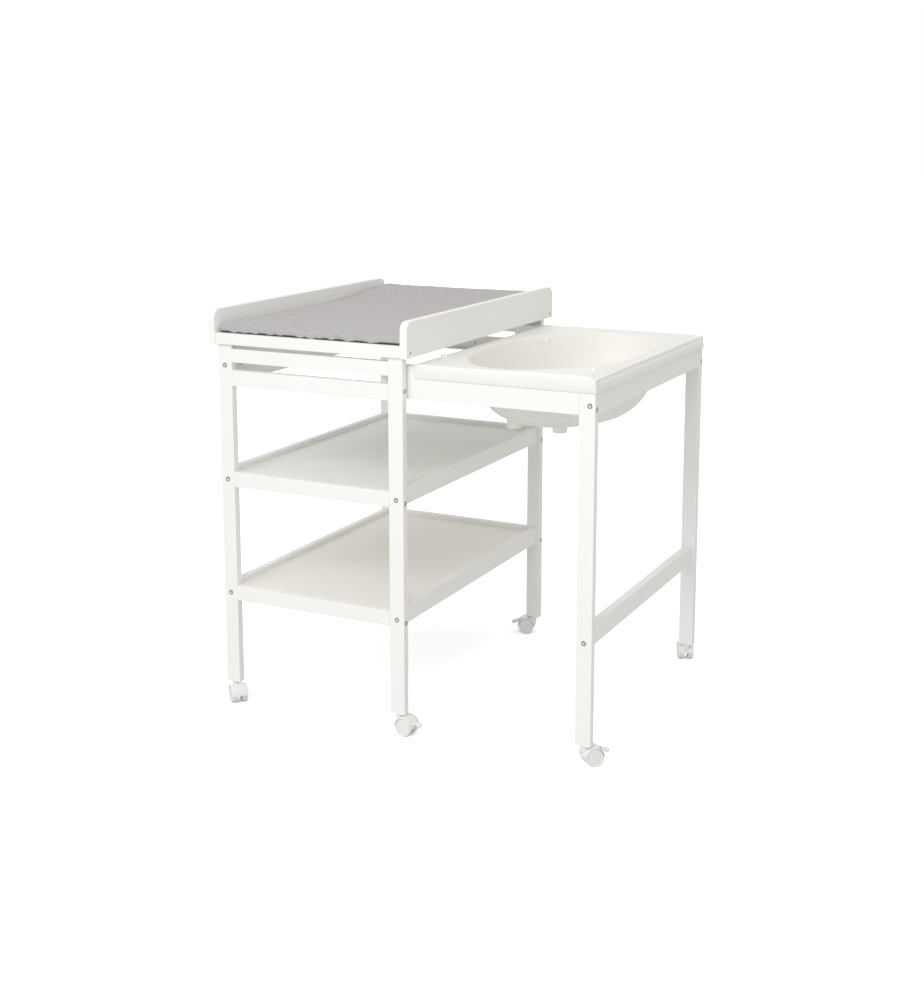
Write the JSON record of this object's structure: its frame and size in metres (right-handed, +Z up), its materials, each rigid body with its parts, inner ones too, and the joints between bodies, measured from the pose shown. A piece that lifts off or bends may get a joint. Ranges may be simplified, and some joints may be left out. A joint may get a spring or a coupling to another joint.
{
  "type": "changing table",
  "caption": "Free-standing changing table on casters with guard boards, grey mat and open shelves; a baby bath on its own legs slides out from under the top.",
  "frame": {"origin": "on the floor below the middle of the whole object with its bath pulled out", "axes": "+Z up, +X to the side where the bath slides out, +Y to the back, where the mat is raised"},
  "size_m": [1.005, 0.8682, 0.9795],
  "materials": {
    "white_painted_wood": "white satin paint on wood",
    "shelf_board": "white satin board",
    "tub_plastic": "ivory moulded, semi-gloss",
    "mat_fabric": "grey melange jersey",
    "caster_plastic": "white moulded",
    "wheel_plastic": "white moulded",
    "zinc_steel": "zinc plated",
    "socket_steel": "zinc plated",
    "runner_steel": "white powder coat",
    "bare_wood": "unfinished beech",
    "drain_grey": "dark grey, matt",
    "plug_rubber": "pale, matt"
  },
  "bodies": {
    "table": {"bath_runner_back": "runner_steel", "bath_runner_front": "runner_steel", "changing_mat": "mat_fabric", "changing_top": "white_painted_wood", "guard_board_left": "white_painted_wood", "guard_board_right": "white_painted_wood", "guard_screws": "zinc_steel", "leg_back_left": "white_painted_wood", "leg_back_right": "white_painted_wood", "leg_front_left": "white_painted_wood", "leg_front_right": "white_painted_wood", "lower_rail_back": "white_painted_wood", "lower_rail_front": "white_painted_wood", "lower_shelf_panel": "shelf_board", "lower_shelf_rail_back": "white_painted_wood", "lower_shelf_rail_front": "white_painted_wood", "lower_shelf_rail_left": "white_painted_wood", "lower_shelf_rail_right": "white_painted_wood", "runner_screws": "zinc_steel", "side_apron": "white_painted_wood", "table_barrel_nuts": "zinc_steel", "table_bolts": "zinc_steel", "table_caster_sockets": "socket_steel", "upper_rail_back": "white_painted_wood", "upper_rail_front": "white_painted_wood", "upper_shelf_panel": "shelf_board", "upper_shelf_rail_back": "white_painted_wood", "upper_shelf_rail_front": "white_painted_wood", "upper_shelf_rail_left": "white_painted_wood", "upper_shelf_rail_right": "white_painted_wood", "wood_dowels": "bare_wood"},
    "bath_carriage": {"bath_barrel_nuts": "zinc_steel", "bath_bolts": "zinc_steel", "bath_caster_sockets": "socket_steel", "bath_leg_back": "white_painted_wood", "bath_leg_front": "white_painted_wood", "bath_rail_back": "white_painted_wood", "bath_rail_front": "white_painted_wood", "bath_side_rail": "white_painted_wood", "bath_stretcher": "white_painted_wood", "bath_tub": "tub_plastic", "drain_fitting": "drain_grey", "stop_pins": "zinc_steel"},
    "drain_plug": {"drain_plug": "plug_rubber"},
    "fork_front_left": {"caster_front_left_fork": "caster_plastic"},
    "wheels_front_left": {"caster_front_left_wheels": "wheel_plastic"},
    "fork_front_right": {"caster_front_right_fork": "caster_plastic"},
    "wheels_front_right": {"caster_front_right_wheels": "wheel_plastic"},
    "brake_front_right": {"caster_front_right_brake": "caster_plastic"},
    "fork_back_left": {"caster_back_left_fork": "caster_plastic"},
    "wheels_back_left": {"caster_back_left_wheels": "wheel_plastic"},
    "fork_back_right": {"caster_back_right_fork": "caster_plastic"},
    "wheels_back_right": {"caster_back_right_wheels": "wheel_plastic"},
    "brake_back_right": {"caster_back_right_brake": "caster_plastic"},
    "fork_bath_front": {"caster_bath_front_fork": "caster_plastic"},
    "wheels_bath_front": {"caster_bath_front_wheels": "wheel_plastic"},
    "brake_bath_front": {"caster_bath_front_brake": "caster_plastic"},
    "fork_bath_back": {"caster_bath_back_fork": "caster_plastic"},
    "wheels_bath_back": {"caster_bath_back_wheels": "wheel_plastic"}
  },
  "joints": [
    {"name": "bath_slide", "type": "slide", "parent": "table", "child": "bath_carriage", "axis": [1, 0, 0], "range_m": [-0.366, 0]},
    {"name": "plug_lift", "type": "slide", "parent": "bath_carriage", "child": "drain_plug", "axis": [0, 0, 1], "range_m": [0, 0.03]},
    {"name": "swivel_front_left", "type": "hinge", "parent": "table", "child": "fork_front_left", "pos_m": [-0.46499, -0.39, 0.048], "axis": [0, 0, 1], "continuous": true},
    {"name": "roll_front_left", "type": "hinge", "parent": "fork_front_left", "child": "wheels_front_left", "pos_m": [-0.44967, -0.40286, 0.021], "axis": [0.6428, 0.766, 0], "continuous": true},
    {"name": "swivel_front_right", "type": "hinge", "parent": "table", "child": "fork_front_right", "pos_m": [0.00101, -0.39, 0.048], "axis": [0, 0, 1], "continuous": true},
    {"name": "roll_front_right", "type": "hinge", "parent": "fork_front_right", "child": "wheels_front_right", "pos_m": [0.02093, -0.39174, 0.021], "axis": [0.0872, 0.9962, 0], "continuous": true},
    {"name": "brake_lever_front_right", "type": "hinge", "parent": "fork_front_right", "child": "brake_front_right", "pos_m": [0.04667, -0.39399, 0.03304], "axis": [0.0872, 0.9962, 0], "range_deg": [0, 20]},
    {"name": "swivel_back_left", "type": "hinge", "parent": "table", "child": "fork_back_left", "pos_m": [-0.46499, 0.39, 0.048], "axis": [0, 0, 1], "continuous": true},
    {"name": "roll_back_left", "type": "hinge", "parent": "fork_back_left", "child": "wheels_back_left", "pos_m": [-0.44967, 0.40286, 0.021], "axis": [-0.6428, 0.766, 0], "continuous": true},
    {"name": "swivel_back_right", "type": "hinge", "parent": "table", "child": "fork_back_right", "pos_m": [0.00101, 0.39, 0.048], "axis": [0, 0, 1], "continuous": true},
    {"name": "roll_back_right", "type": "hinge", "parent": "fork_back_right", "child": "wheels_back_right", "pos_m": [-0.01801, 0.38382, 0.021], "axis": [0.309, -0.9511, 0], "continuous": true},
    {"name": "brake_lever_back_right", "type": "hinge", "parent": "fork_back_right", "child": "brake_back_right", "pos_m": [-0.04258, 0.37584, 0.03304], "axis": [0.309, -0.9511, 0], "range_deg": [0, 20]},
    {"name": "swivel_bath_front", "type": "hinge", "parent": "bath_carriage", "child": "fork_bath_front", "pos_m": [0.45701, -0.3657, 0.048], "axis": [0, 0, 1], "continuous": true},
    {"name": "roll_bath_front", "type": "hinge", "parent": "fork_bath_front", "child": "wheels_bath_front", "pos_m": [0.4709, -0.35131, 0.021], "axis": [-0.7193, 0.6947, 0], "continuous": true},
    {"name": "brake_lever_bath_front", "type": "hinge", "parent": "fork_bath_front", "child": "brake_bath_front", "pos_m": [0.48885, -0.33273, 0.03304], "axis": [-0.7193, 0.6947, 0], "range_deg": [0, 20]},
    {"name": "swivel_bath_back", "type": "hinge", "parent": "bath_carriage", "child": "fork_bath_back", "pos_m": [0.45701, 0.3657, 0.048], "axis": [0, 0, 1], "continuous": true},
    {"name": "roll_bath_back", "type": "hinge", "parent": "fork_bath_back", "child": "wheels_bath_back", "pos_m": [0.44793, 0.38352, 0.021], "axis": [-0.891, -0.454, 0], "continuous": true}
  ]
}
